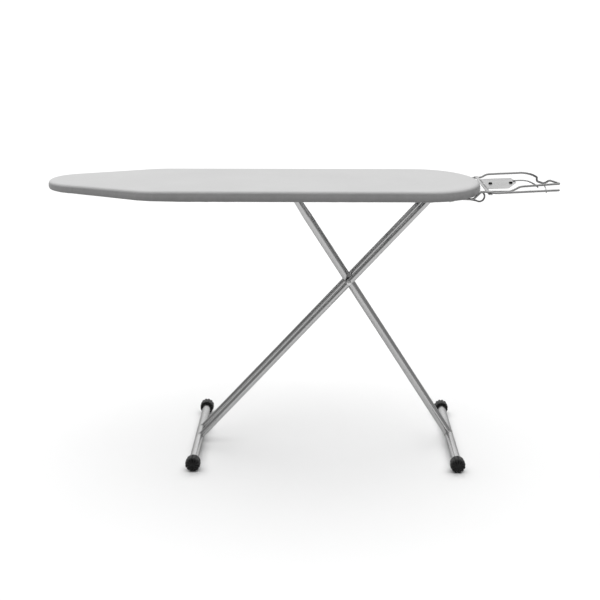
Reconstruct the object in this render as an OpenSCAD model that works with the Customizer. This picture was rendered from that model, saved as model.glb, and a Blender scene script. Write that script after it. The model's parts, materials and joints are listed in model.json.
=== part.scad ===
// Folding ironing board: padded top on a steel deck, crossed tube legs and a wire iron rest.
// +X runs from the nose to the iron rest, +Y to the back, +Z up. The floor is Z = 0.

/* [Board] */
// Length of the padded top
board_l = 1216; // [1100:4:1350]
// Width of the padded top
board_w = 380; // [340:5:420]
// Height of the ironing surface above the floor
top_z = 793; // [780:1:800]
// Radius of the nose
nose_r = 101.4; // [90:0.2:110]
// Half angle of the tapered nose
taper = 22.7; // [20:0.1:25]
// Radius where the taper meets the straight sides
shoulder_r = 150; // [100:5:200]
// Radius of the two corners at the iron rest end
corner_r = 150; // [130:5:160]
// Radius of the crowned end between those corners
crown_r = 215; // [205:5:260]
// Thickness of the deck plate
deck_t = 0.8; // [0.6:0.1:1.5]
// Diameter of the steam holes in the deck
vent_d = 22; // [10:1:26]
// Spacing of the steam holes along the board
vent_pitch = 56; // [50:1:80]
// Thickness of the folded steel edge
rim_t = 1; // [0.8:0.1:1.5]
// Width of the cross ribs under the deck
rib_w = 20; // [16:1:24]
// Depth of the cross ribs
rib_h = 12; // [8:1:12]

/* [Cover] */
// Thickness of the foam pad
pad_t = 9; // [5:0.5:12]
// Thickness of the fabric cover
cover_t = 2; // [1:0.5:3]
// Height of the covered edge, from the ironing surface to the hem
edge_h = 29.5; // [27:0.5:32]
// How much thinner the covered edge is at the nose tip
nose_rise = 7; // [0:0.5:8]
// Distance from the nose over which the edge thins
nose_run = 390; // [200:10:450]
// Width of the hem gathered under the edge
hem_w = 24; // [20:1:30]
// Diameter of the elastic in the hem
elastic_d = 4; // [3:0.5:5]

/* [Legs] */
// Distance from the nose to the fixed hinge of the outer leg
hinge_u = 1078; // [1070:1:1090]
// Depth of both leg tops below the ironing surface
hinge_drop = 45; // [44:1:47]
// Angle of the outer leg above the floor when the board stands
outer_angle = 47.4; // [46:0.1:48]
// Angle of the inner leg above the floor when the board stands
inner_angle = 57.4; // [56:0.1:58]
// Distance along the outer leg from its hinge to the crossing
crossing_drop = 336.3; // [330:0.1:340]
// Diameter of the two outer leg tubes
outer_d = 18; // [16:1:18]
// Distance from the middle of the board to each outer leg tube
outer_y = 32.4; // [32:0.1:34]
// Diameter of the single inner leg tube
inner_d = 25; // [22:1:25]
// Diameter of the inner leg tube at its narrowed top
inner_top_d = 19; // [16:1:19]
// Length of the narrowed top
inner_neck = 75; // [40:5:90]
// Wall thickness of every tube
tube_wall = 1.2; // [1:0.1:2]
// Diameter of the bolt at the crossing
bolt_d = 8; // [6:1:8]
// Diameter of the two pins of the fixed hinge
pin_d = 10; // [8:1:10]

/* [Feet] */
// Diameter of the foot tubes
foot_d = 25; // [22:1:25]
// Length over the end caps of each foot
foot_l = 480; // [440:5:500]
// Diameter of the end caps, which stand on the floor
cap_d = 42.6; // [40:0.2:46]
// Length of each end cap
cap_l = 35; // [30:1:40]

/* [Height rail] */
// Inner width of the rail
rail_in = 30; // [30:1:32]
// Wall thickness of the rail
rail_t = 1.5; // [1:0.1:2]
// Depth of the rail below the deck
rail_h = 46; // [45:0.5:48]
// Diameter of the slide axle
axle_d = 8; // [6:1:8]
// Diameter of the rollers that run in the slots
roller_d = 12; // [10:1:12]
// Number of height notches
notches = 6; // [3:1:8]

/* [Iron rest] */
// Distance that the rest reaches past the end of the board
rest_reach = 219; // [200:1:230]
// Diameter of the rest's wires
rest_wire_d = 6; // [5:0.5:6]
// Length of the rest's plate along the board
plate_l = 90; // [88:1:104]
// Width of the rest's plate across the board
plate_w = 158; // [150:2:164]
// Diameter of the two holes in the plate
plate_hole_d = 9; // [6:1:12]
// Distance between those two holes
plate_hole_pitch = 57; // [40:1:62]
// Height of the rubber buffers in those holes above the plate
buffer_rise = 3; // [2:0.5:4]
// Upward tilt of the plate towards its outer end, in degrees
plate_tilt = 2; // [0:0.5:3]

/* [Height lever] */
// Diameter of the lever wire
lever_d = 5; // [4:0.5:6]
// Distance of the lever's shaft in front of the middle of the board
lever_y = 70; // [68:1:72]
// Radius of the eye at the lever's end
eye_r = 14; // [11:0.5:14]

/* [Hidden] */
$fn = 48;

nose_x = -(board_l + rest_reach) / 2;
pad_z = top_z - cover_t - pad_t;
deck_z = pad_z - deck_t;
hem_z = top_z - edge_h;
rim_z = hem_z + cover_t;
rim_inset = cover_t + 1;
rib_z = deck_z - rib_h;
rib_u = [130, 405, 760, 980, 1122];

// The outline's arcs meet tangentially, so an inset outline only changes their radii.
shoulder_y = board_w / 2 - shoulder_r;
shoulder_u = nose_r + (cos(taper) * shoulder_y - nose_r + shoulder_r) / sin(taper);
corner_y = board_w / 2 - corner_r;
crown_a = asin(corner_y / (crown_r - corner_r));
corner_u = board_l - crown_r + (crown_r - corner_r) * cos(crown_a);

// Leg linkage, as [x, z] points in the standing pose.
hinge_z = top_z - hinge_drop;
hinge = [nose_x + hinge_u, hinge_z];
cap_r = cap_d / 2;
crossing = hinge - crossing_drop * [cos(outer_angle), sin(outer_angle)];
inner_up = crossing_drop * sin(outer_angle) / sin(inner_angle);
inner_down = (crossing[1] - cap_r) / sin(inner_angle);
outer_l = (hinge_z - cap_r) / sin(outer_angle);
outer_foot = [hinge[0] - outer_l * cos(outer_angle), cap_r];
inner_foot = [crossing[0] + inner_down * cos(inner_angle), cap_r];
fold_ratio = inner_angle / outer_angle;
slide = slide_at(0);

play = 0.05;
gap = 0.3;
tube_end = 12;
bracket_t = 2.5;
bracket_l = 46;
ear_w = 26;
slot_r = roller_d / 2 + 0.4;
notch_rise = 5;
rail_side = rail_in / 2 + rail_t;
clip_t = 2;
clip_r = 7.5;
flange_r = 8;
roller_in = 10;
axle_end = rail_side + 0.4 + clip_t;
bush_r = 7;
bolt_head_r = 7;
bolt_head_t = 5;
washer_r = 10;
lever_z = deck_z - 6.2;
crank_y = rail_side + 3.5;
arm_y = 110;
arm_z = hem_z - 4;
limb_y = 148;
rest_z = top_z - 11.4;
rest_rise = 0.046;
rest_bend = 5;
// The wire's last corner is rounded, so its corner point lies a little past its true end.
rest_end_u = board_l + rest_reach - rest_wire_d / 2 + 2.2;
strap_u = board_l + 5;
strap_w = 10;
strap_t = 2;
strap_z = top_z - 16;
plate_u = strap_u + 8;
plate_t = 1;
plate_ridge = 4;
plate_back = 88;
plate_front = plate_w - plate_back;
plate_slope = atan(plate_ridge / plate_front);
plate_hole_u = 16;
plate_hole_y = -12;
buffer_taper = 2;
clamp_l = 16;
clamp_w = 22;
screw_d = 4;
screw_off = 7.5;
spring_u = 1006;

function slide_at(turn) = hinge
    - crossing_drop * [cos(outer_angle - turn), sin(outer_angle - turn)]
    + inner_up * [-cos(inner_angle - fold_ratio * turn), sin(inner_angle - fold_ratio * turn)];

function arc(c, r, from, to, n) =
    [for (i = [0:n]) let (a = from + (to - from) * i / n) c + r * [cos(a), sin(a)]];

// Rear half of the outline, from the nose tip to the middle of the other end.
function half_outline(inset) = concat(
    arc([nose_r, 0], nose_r - inset, 180, 90 + taper, 8),
    arc([shoulder_u, shoulder_y], shoulder_r - inset, 90 + taper, 90, 3),
    arc([corner_u, corner_y], corner_r - inset, 90, crown_a, 7),
    arc([board_l - crown_r, 0], crown_r - inset, crown_a, 0, 4));

function outline(inset) = let (half = half_outline(inset), last = len(half) - 1) [
    for (p = half) [nose_x + p[0], p[1]],
    for (i = [last - 1:-1:1]) [nose_x + half[i][0], -half[i][1]]];

// Half width of the board at a distance u from the nose tip.
function half_width(u) =
    u < nose_r * (1 - sin(taper)) ? sqrt(pow(nose_r, 2) - pow(nose_r - u, 2)) :
    u < shoulder_u ? min(board_w / 2, nose_r * cos(taper)
        + (u - nose_r * (1 - sin(taper))) * tan(taper)) :
    u < corner_u ? board_w / 2 :
    u < board_l - crown_r * (1 - cos(crown_a)) ?
        corner_y + sqrt(pow(corner_r, 2) - pow(u - corner_u, 2)) :
    sqrt(max(0, pow(crown_r, 2) - pow(u - board_l + crown_r, 2)));

function unit(v) = v / norm(v);
function curve(a, b, c, t) = a * pow(1 - t, 2) + b * 2 * t * (1 - t) + c * pow(t, 2);

// A path given as [u, y, z] points, with each inner corner rounded over the length bend.
function bent(path, bend, steps = 4) = let (
    p = [for (q = path) [nose_x + q[0], q[1], q[2]]], last = len(p) - 1) [
    p[0],
    for (i = [1:last - 1])
        let (a = p[i] + bend * unit(p[i - 1] - p[i]), b = p[i] + bend * unit(p[i + 1] - p[i]))
            for (k = [0:steps]) curve(a, p[i], b, k / steps),
    p[last]];

function ring(p, along, up, d, sides) = let (
    side = unit(cross(along, up)), over = cross(side, along))
    [for (k = [0:sides - 1]) p + d / 2 * (cos(360 * k / sides) * side + sin(360 * k / sides) * over)];

// Round wire of diameter d along a list of points.
module wire(path, d, up = [0, 0, 1], sides = 12) {
    n = len(path);
    rings = [for (i = [0:n - 1])
        ring(path[i], unit(path[min(n - 1, i + 1)] - path[max(0, i - 1)]), up, d, sides)];
    polyhedron(
        points = [for (r = rings) each r],
        faces = concat(
            [[for (k = [0:sides - 1]) k]],
            [for (i = [0:n - 2]) for (k = [0:sides - 1]) let (m = (k + 1) % sides)
                [i * sides + k, (i + 1) * sides + k, (i + 1) * sides + m, i * sides + m]],
            [[for (k = [sides - 1:-1:0]) (n - 1) * sides + k]]));
}

// Round wire of diameter d round a closed loop of points.
module loop_wire(path, d, sides = 8) {
    n = len(path);
    rings = [for (i = [0:n - 1])
        ring(path[i], unit(path[(i + 1) % n] - path[(i + n - 1) % n]), [0, 0, 1], d, sides)];
    polyhedron(
        points = [for (r = rings) each r],
        faces = [for (i = [0:n - 1]) for (k = [0:sides - 1])
            let (m = (k + 1) % sides, j = (i + 1) % n)
                [i * sides + k, j * sides + k, j * sides + m, i * sides + m]]);
}

// A slab of the board's outline between two heights.
module slab(inset, low, high) {
    translate([0, 0, low]) linear_extrude(high - low) polygon(outline(inset));
}

// A round bar along Y through an [x, z] point.
module bar_y(at, r, from, to) {
    translate([at[0], from, at[1]]) rotate([-90, 0, 0]) cylinder(h = to - from, r = r);
}

// Turns +Z to the direction of a leg that leans at an angle above the floor.
module outer_leg_frame(y) {
    translate([hinge[0], y, hinge[1]]) rotate([0, -90 - outer_angle, 0]) children();
}

module inner_leg_frame() {
    translate([inner_foot[0], 0, inner_foot[1]]) rotate([0, inner_angle - 90, 0]) children();
}

// Height of the underside of the covered edge above its level stretch.
function rise_at(u) = nose_rise * max(0, 1 - u / nose_run);

// Everything below a plane that rises towards the nose.
module nose_wedge(low) {
    translate([nose_x, board_w, 0]) rotate([90, 0, 0]) linear_extrude(2 * board_w)
        polygon([
            [-1, low - 2], [-1, low + nose_rise], [0, low + nose_rise],
            [nose_run, low], [nose_run, low - 2]]);
}

module fabric_cover() {
    color("gainsboro") difference() {
        slab(0, hem_z, top_z);
        nose_wedge(hem_z);
        difference() {
            slab(cover_t, rim_z, pad_z + pad_t);
            nose_wedge(rim_z);
        }
        slab(hem_w, hem_z - 1, rim_z + nose_rise + 1);
    }
}

module foam_pad() {
    color("whitesmoke") slab(cover_t, pad_z, pad_z + pad_t);
}

module hem_elastic() {
    path = [for (p = outline(hem_w + elastic_d / 2))
        [p[0], p[1], hem_z + cover_t / 2 + rise_at(p[0] - nose_x)]];
    color("white") loop_wire(path, elastic_d);
}

module deck_sheet() {
    rows = floor(board_w / vent_pitch);
    row_step = vent_pitch * sin(60);
    color("silver") difference() {
        slab(rim_inset, deck_z, pad_z);
        for (j = [-rows:rows], i = [0:floor(board_l / vent_pitch)]) {
            u = (i + (abs(j) % 2 == 0 ? 0.5 : 1)) * vent_pitch;
            y = j * row_step;
            if (abs(y) + vent_d / 2 + hem_w < min(half_width(u - vent_d / 2), half_width(u + vent_d / 2)))
                translate([nose_x + u, y, deck_z - 1]) cylinder(h = deck_t + 2, d = vent_d);
        }
    }
}

module edge_rim() {
    lip_w = 10;
    color("silver") difference() {
        slab(rim_inset, rim_z, deck_z);
        nose_wedge(rim_z);
        difference() {
            slab(rim_inset + rim_t, rim_z + rim_t, deck_z + 1);
            nose_wedge(rim_z + rim_t);
        }
        slab(rim_inset + rim_t + lip_w, rim_z - 1, deck_z + 1);
    }
}

// A hat-shaped rib across the board, open downwards. The lever's shaft passes through all but the first.
module cross_rib(n) {
    u = nose_x + rib_u[n - 1];
    low = rib_z + ceil(rise_at(rib_u[n - 1]));
    color("silver") difference() {
        intersection() {
            translate([u - rib_w / 2, -board_w / 2, low]) cube([rib_w, board_w, deck_z - low]);
            slab(rim_inset + rim_t + 1, low, deck_z);
        }
        translate([u - rib_w / 2 + rim_t, -board_w / 2, low - 1])
            cube([rib_w - 2 * rim_t, board_w, deck_z - low - rim_t + 1]);
        if (n > 1) translate([u - rib_w, -lever_y, lever_z]) rotate([0, 90, 0])
            cylinder(h = 2 * rib_w, d = lever_d + 4 * play);
    }
}

// The slot follows the slide axle's own path, and the height notches open upwards from it.
module slot_profile() {
    steps = 16;
    reach = 7;
    path = [for (i = [0:steps]) slide_at(outer_angle * i / steps)];
    ends = concat(
        [path[0] + reach * unit(path[0] - path[1])], path,
        [path[steps] + reach * unit(path[steps] - path[steps - 1])]);
    last = len(ends) - 1;
    side = [for (i = [0:last]) let (along = unit(ends[max(0, i - 1)] - ends[min(last, i + 1)]))
        slot_r * [-along[1], along[0]]];
    polygon(concat([for (i = [0:last]) ends[i] + side[i]], [for (i = [last:-1:0]) ends[i] - side[i]]));
    for (i = [0:notches - 1])
        translate(slide_at(outer_angle * 0.5 * i / (notches - 1)) + [0, notch_rise]) circle(r = slot_r);
}

module height_rail() {
    left = slide_at(outer_angle)[0] - 22;
    right = slide[0] + 26;
    color("silver") difference() {
        translate([left, -rail_side, deck_z - rail_h]) cube([right - left, 2 * rail_side, rail_h]);
        translate([left - 1, -rail_in / 2, deck_z - rail_h - 1])
            cube([right - left + 2, rail_in, rail_h - rail_t + 1]);
        translate([0, board_w / 2, 0]) rotate([90, 0, 0]) linear_extrude(board_w) slot_profile();
    }
}

// A folded bracket whose two ears carry one outer leg tube.
module hinge_bracket(side) {
    inner_ear = outer_y - outer_d / 2 - 0.4 - bracket_t;
    outer_ear = outer_y + outer_d / 2 + 0.4;
    wide = outer_ear + bracket_t - inner_ear;
    mirror([0, side < 0 ? 1 : 0, 0]) color("silver") difference() {
        union() {
            translate([hinge[0] - bracket_l / 2, inner_ear, deck_z - bracket_t])
                cube([bracket_l, wide, bracket_t]);
            for (y = [inner_ear, outer_ear]) {
                translate([hinge[0] - ear_w / 2, y, hinge[1]])
                    cube([ear_w, bracket_t, deck_z - hinge[1]]);
                bar_y(hinge, ear_w / 2, y, y + bracket_t);
            }
        }
        bar_y(hinge, pin_d / 2, 0, board_w);
    }
}

module hinge_pin(side) {
    low = outer_y - outer_d / 2 - bracket_t - 1;
    high = outer_y + outer_d / 2 + bracket_t + 2;
    mirror([0, side < 0 ? 1 : 0, 0]) color("gainsboro") {
        bar_y(hinge, pin_d / 2, low, high);
        bar_y(hinge, pin_d / 2 + 2, high, high + 2);
    }
}

module outer_leg_tube(side) {
    color("lightgray") difference() {
        outer_leg_frame(side * outer_y) translate([0, 0, -tube_end])
            cylinder(h = tube_end + outer_l, d = outer_d);
        outer_leg_frame(side * outer_y) translate([0, 0, -tube_end - 1])
            cylinder(h = tube_end + outer_l + 2, d = outer_d - 2 * tube_wall);
        bar_y(outer_foot, foot_d / 2, -board_w, board_w);
        bar_y(hinge, pin_d / 2 + play, -board_w, board_w);
        bar_y(crossing, bolt_d / 2, -board_w, board_w);
    }
}

module foot_tube(at) {
    half = foot_l / 2 - 8;
    color("lightgray") difference() {
        bar_y(at, foot_d / 2, -half, half);
        bar_y(at, foot_d / 2 - tube_wall, -half - 1, half + 1);
    }
}

// Barrel-shaped end cap, opening towards the middle of the foot.
module foot_cap(at, side) {
    wall = 8;
    lead = 2;
    translate([at[0], side * foot_l / 2, at[1]]) rotate([side * 90, 0, 0])
        color("dimgray") rotate_extrude() polygon([
            [0, 0], [cap_r - 2 * lead, 0], [cap_r, 2 * lead], [cap_r, cap_l - lead],
            [cap_r - lead, cap_l], [foot_d / 2, cap_l], [foot_d / 2, wall], [0, wall]]);
}

module crossing_bolt() {
    end = outer_y + outer_d / 2;
    color("gainsboro") {
        bar_y(crossing, bolt_d / 2, -end, end + bolt_head_t + 2);
        bar_y(crossing, bolt_head_r, -end - bolt_head_t, -end);
    }
}

module crossing_nut() {
    end = outer_y + outer_d / 2;
    color("gainsboro") difference() {
        translate([crossing[0], end, crossing[1]]) rotate([-90, 0, 0])
            cylinder(h = bolt_head_t, r = bolt_head_r, $fn = 6);
        bar_y(crossing, bolt_d / 2, end - 1, end + bolt_head_t + 1);
    }
}

module crossing_spacer(side) {
    low = inner_d / 2 + gap;
    high = outer_y - outer_d / 2;
    mirror([0, side < 0 ? 1 : 0, 0]) color("dimgray") difference() {
        bar_y(crossing, washer_r, low, high);
        bar_y(crossing, bolt_d / 2, low - 1, high + 1);
    }
}

module crossing_bush() {
    color("dimgray") difference() {
        bar_y(crossing, bush_r, -inner_d / 2, inner_d / 2);
        bar_y(crossing, bolt_d / 2 + play, -inner_d, inner_d);
    }
}

// The inner leg is one tube, narrowed at its top to fit the rail.
module inner_leg_tube() {
    straight = inner_down + inner_up - inner_neck;
    neck = inner_neck + tube_end;
    color("lightgray") difference() {
        inner_leg_frame() union() {
            cylinder(h = straight, d = inner_d);
            translate([0, 0, straight]) cylinder(h = neck, d1 = inner_d, d2 = inner_top_d);
        }
        inner_leg_frame() {
            translate([0, 0, -1]) cylinder(h = straight + 1, d = inner_d - 2 * tube_wall);
            translate([0, 0, straight])
                cylinder(h = neck, d1 = inner_d - 2 * tube_wall, d2 = inner_top_d - 2 * tube_wall);
        }
        bar_y(inner_foot, foot_d / 2, -board_w, board_w);
        bar_y(crossing, bush_r, -board_w, board_w);
        bar_y(slide, axle_d / 2, -board_w, board_w);
    }
}

module slide_axle() {
    color("gainsboro") bar_y(slide, axle_d / 2, -axle_end, axle_end);
}

// Flanged nylon roller: the flange spaces the leg from the rail and the rim runs in the slot.
module slide_roller(side) {
    flange_end = rail_in / 2 - 0.4;
    mirror([0, side < 0 ? 1 : 0, 0]) color("whitesmoke") difference() {
        union() {
            bar_y(slide, flange_r, roller_in, flange_end);
            bar_y(slide, roller_d / 2, roller_in, rail_side + 0.4);
        }
        bar_y(slide, axle_d / 2, 0, board_w);
    }
}

module axle_clips() {
    color("gainsboro") for (side = [0, 1])
        mirror([0, side, 0]) difference() {
            bar_y(slide, clip_r, rail_side + 0.4, axle_end);
            bar_y(slide, axle_d / 2, 0, board_w);
        }
}

// Height of the rest's upper wires, which rise towards their outer end.
function rest_at(u) = rest_z + rest_rise * (u - board_l);

module rest_frame_wire() {
    low_z = strap_z - rest_wire_d / 2;
    far_z = rest_at(1380);
    path = [
        [1108, arm_y, arm_z], [1134, arm_y, arm_z], [1188, 126, arm_z], [1207, 140, low_z],
        [1241, 146, low_z],
        [1257, limb_y, rest_at(1257)], [1366, limb_y, rest_at(1366)], [1385, 118, far_z - 1],
        [1391, 72, far_z - 1], [1382, 28, far_z - 1], [1380, 8, far_z - 2], [1389, -19, far_z - 2],
        [1398, -24, far_z], [1406, -27, far_z + 7.5], [1428, -32, far_z + 1], [rest_end_u, -37, far_z - 1],
        [rest_end_u - 14, -41, far_z - 1], [1318, -72, rest_at(1318)], [1303, -76, low_z + 5],
        [1290, -80, low_z], [1226, -83, low_z]];
    color("silver") wire(bent(path, rest_bend), rest_wire_d);
}

module rest_front_wire() {
    high_z = strap_z + strap_t + rest_wire_d / 2;
    path = [
        [1108, -arm_y, arm_z], [1134, -arm_y, arm_z], [1184, -120, arm_z], [1205, -121, high_z - 1],
        [1219, -130, high_z], [1240, -limb_y, high_z], [1411, -limb_y, rest_at(1411)]];
    color("silver") wire(bent(path, rest_bend), rest_wire_d);
}

// Thinner wire from the middle of the plate to the underside of the frame wire.
module rest_inner_wire() {
    overlap = 8;
    inner_y = 12;
    start_u = plate_u + plate_l - overlap;
    start_z = strap_z + strap_t + (plate_l - overlap) * sin(plate_tilt)
        + plate_ridge * (1 - inner_y / plate_back) + plate_t + (rest_wire_d - 2) / 2;
    path = [
        [start_u, inner_y, start_z], [1340, 14, start_z + 0.8], [1353, 7, start_z],
        [1366, -24, start_z - 3], [1370, -58, rest_at(1318) - 4.4]];
    color("silver") wire(bent(path, rest_bend), rest_wire_d - 2);
}

// Thin tie under the frame wire and the front wire.
module rest_cross_wire() {
    path = [
        [1391, -44, rest_at(1318) - 3.6], [1385, -96, rest_at(1318) - 3.6],
        [1375, -limb_y - 1, rest_at(1375) - 5.1]];
    color("silver") wire(bent(path, rest_bend), rest_wire_d - 2);
}

// Flat strap that ties the wires together just past the end of the board.
module rest_cross_bar() {
    front_y = -limb_y - 3;
    rear_y = limb_y - 4.5;
    color("silver") translate([nose_x + strap_u, front_y, strap_z])
        cube([strap_w, rear_y - front_y, strap_t]);
}

module plate_frame() {
    translate([nose_x + plate_u, 0, strap_z + strap_t]) rotate([0, -plate_tilt, 0]) children();
}

// Places its children square to the top of the sheet at each hole, on the front slope of the ridge.
module at_plate_holes() {
    hole_z = plate_ridge * (1 + plate_hole_y / plate_front) + plate_t;
    for (u = [plate_hole_u, plate_hole_u + plate_hole_pitch])
        translate([u, plate_hole_y, hole_z]) rotate([plate_slope, 0, 0]) children();
}

// Sheet plate with a shallow ridge along it, two holes and a clipped front corner.
module rest_plate() {
    clip_l = 32;
    profile = [
        [-plate_front, 0], [0, plate_ridge], [plate_back, 0],
        [plate_back, plate_t], [0, plate_ridge + plate_t], [-plate_front, plate_t]];
    color("lightgray") plate_frame() difference() {
        rotate([90, 0, 90]) linear_extrude(plate_l) polygon(profile);
        translate([0, 0, -1]) linear_extrude(plate_ridge + 5)
            polygon([[plate_l + 1, -5], [plate_l - clip_l, -plate_front - 1], [plate_l + 1, -plate_front - 1]]);
        at_plate_holes() translate([0, 0, -plate_t - 1]) cylinder(h = plate_t + 2, d = plate_hole_d);
    }
}

// Hollow rubber buffers pressed into the plate's holes, with a tapered head and a flange below.
module rest_plate_plugs() {
    flange_d = plate_hole_d + 2;
    neck = plate_t + 1.5;
    color("dimgray") plate_frame() at_plate_holes() difference() {
        union() {
            translate([0, 0, -neck]) cylinder(h = neck + 1, d = plate_hole_d);
            cylinder(h = buffer_rise, d1 = flange_d, d2 = flange_d - buffer_taper);
            translate([0, 0, -neck]) cylinder(h = 1, d = flange_d);
        }
        translate([0, 0, -1]) cylinder(h = buffer_rise + 2, d = plate_hole_d - 4);
    }
}

// Clamp block that holds one arm of the rest under the last rib.
module rest_clamp(side) {
    translate([nose_x + rib_u[4], side * arm_y, 0]) color("dimgray") difference() {
        translate([-clamp_l / 2, -clamp_w / 2, arm_z - 6])
            cube([clamp_l, clamp_w, rib_z - arm_z + 6]);
        translate([-clamp_l, 0, arm_z]) rotate([0, 90, 0])
            cylinder(h = 2 * clamp_l, d = rest_wire_d + 4 * play);
        for (y = [-screw_off, screw_off])
            translate([0, y, arm_z - 7]) cylinder(h = 30, d = screw_d);
    }
}

module rest_screws() {
    color("gainsboro") for (side = [-1, 1], y = [-screw_off, screw_off])
        translate([nose_x + rib_u[4], side * arm_y + y, arm_z - 6]) {
            cylinder(h = rib_z - arm_z + 6, d = screw_d);
            translate([0, 0, -2]) cylinder(h = 2, d = screw_d + 3);
        }
}

// One bent wire: shaft in the ribs, long crank over the axle, and an eye at the end.
module height_lever() {
    eye = [1203, -100, top_z - 29];
    path = [
        [385, -lever_y, lever_z], [432, -lever_y, lever_z], [438, -crank_y, lever_z],
        [724, -crank_y, lever_z], [730, -lever_y, lever_z], [1138, -lever_y, lever_z],
        [1150, -73, eye[2] - 7], [1180, -93, eye[2] - 10],
        for (a = [235:30:445]) eye + eye_r * [cos(a), 0, sin(a)]];
    color("gray") wire(bent(path, 7), lever_d);
}

// Torsion spring wound loosely round the lever's shaft.
module lever_spring() {
    turns = 6;
    per_turn = 10;
    coil_r = 5.1;
    pitch = 3;
    coil = [for (i = [0:turns * per_turn]) let (a = 360 * i / per_turn) [
        nose_x + spring_u + pitch * i / per_turn,
        -lever_y + coil_r * cos(a), lever_z + coil_r * sin(a)]];
    color("silver") wire(coil, 1.6, [1, 0, 0], 8);
}

fabric_cover();
foam_pad();
hem_elastic();
deck_sheet();
edge_rim();
cross_rib(1);  // cross_rib_1
cross_rib(2);  // cross_rib_2
cross_rib(3);  // cross_rib_3
cross_rib(4);  // cross_rib_4
cross_rib(5);  // cross_rib_5
height_rail();
hinge_bracket(-1);  // hinge_bracket_front
hinge_bracket(1);  // hinge_bracket_rear
hinge_pin(-1);  // hinge_pin_front
hinge_pin(1);  // hinge_pin_rear
rest_frame_wire();
rest_front_wire();
rest_inner_wire();
rest_cross_wire();
rest_cross_bar();
rest_plate();
rest_plate_plugs();
rest_clamp(-1);  // rest_clamp_front
rest_clamp(1);  // rest_clamp_rear
rest_screws();
outer_leg_tube(-1);  // outer_leg_tube_front
outer_leg_tube(1);  // outer_leg_tube_rear
foot_tube(outer_foot);  // outer_foot_tube
foot_cap(outer_foot, -1);  // outer_foot_cap_front
foot_cap(outer_foot, 1);  // outer_foot_cap_rear
crossing_bolt();
crossing_nut();
crossing_spacer(-1);  // crossing_spacer_front
crossing_spacer(1);  // crossing_spacer_rear
inner_leg_tube();
foot_tube(inner_foot);  // inner_foot_tube
foot_cap(inner_foot, -1);  // inner_foot_cap_front
foot_cap(inner_foot, 1);  // inner_foot_cap_rear
crossing_bush();
slide_axle();
slide_roller(-1);  // slide_roller_front
slide_roller(1);  // slide_roller_rear
axle_clips();
height_lever();
lever_spring();
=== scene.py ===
import json
import math

import bmesh
import bpy
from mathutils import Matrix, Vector, noise


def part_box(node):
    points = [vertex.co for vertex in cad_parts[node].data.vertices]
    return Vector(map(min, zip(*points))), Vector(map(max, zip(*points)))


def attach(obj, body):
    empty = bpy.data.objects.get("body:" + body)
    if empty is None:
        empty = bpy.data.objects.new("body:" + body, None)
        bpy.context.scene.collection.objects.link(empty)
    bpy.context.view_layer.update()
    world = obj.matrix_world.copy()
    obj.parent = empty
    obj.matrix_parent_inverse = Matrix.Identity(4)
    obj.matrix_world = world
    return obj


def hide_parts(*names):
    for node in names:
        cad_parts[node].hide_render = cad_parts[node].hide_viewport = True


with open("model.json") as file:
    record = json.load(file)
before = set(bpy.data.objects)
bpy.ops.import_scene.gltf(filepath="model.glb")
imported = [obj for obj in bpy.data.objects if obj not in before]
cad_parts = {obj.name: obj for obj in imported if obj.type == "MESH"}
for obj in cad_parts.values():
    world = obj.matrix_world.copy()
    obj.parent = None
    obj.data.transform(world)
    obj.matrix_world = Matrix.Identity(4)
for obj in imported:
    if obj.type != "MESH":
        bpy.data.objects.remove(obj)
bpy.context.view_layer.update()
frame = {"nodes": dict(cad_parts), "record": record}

# Driving sizes, in metres. Places along the board are given as u, the distance from the nose tip.
COVER_LOW, COVER_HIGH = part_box("fabric_cover")
NOSE_X = COVER_LOW.x
BOARD_L = COVER_HIGH.x - COVER_LOW.x
HALF_W = COVER_HIGH.y
TOP_Z = COVER_HIGH.z
HEM_Z = COVER_LOW.z
DECK_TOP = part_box("deck_sheet")[1].z
DECK_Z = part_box("deck_sheet")[0].z
PAD_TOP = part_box("foam_pad")[1].z
CAP_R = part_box("inner_foot_cap_front")[1].z / 2
CAP_L = 0.035
FOOT_R = 0.0125

# The board's outline: a round nose, straight tapers, straight sides and a crowned end.
NOSE_R = 0.1014
TAPER = math.radians(22.7)
SHOULDER_R = 0.150
CORNER_R = 0.150
CROWN_R = 0.215

# The covered edge is thinner at the nose.
NOSE_RISE = 0.007
NOSE_RUN = 0.390


# ---------------------------------------------------------------- geometry helpers

def at(u, y, z):
    """A point of the row frame from a distance along the board."""
    return Vector((NOSE_X + u, y, z))


def arc(centre, radius, start, end, count):
    """Points of an arc in the plane, angles in radians."""
    angles = [start + (end - start) * i / count for i in range(count + 1)]
    return [Vector((centre[0] + radius * math.cos(a), centre[1] + radius * math.sin(a))) for a in angles]


def resample(points, count):
    """Evenly spaced points along a closed polyline, starting at its first point."""
    ring = points + points[:1]
    lengths = [0.0]
    for a, b in zip(ring, ring[1:]):
        lengths.append(lengths[-1] + (b - a).length)
    out, k = [], 0
    for i in range(count):
        target = lengths[-1] * i / count
        while lengths[k + 1] < target:
            k += 1
        share = (target - lengths[k]) / max(lengths[k + 1] - lengths[k], 1e-12)
        out.append(ring[k].lerp(ring[k + 1], share))
    return out, lengths[-1]


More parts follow.
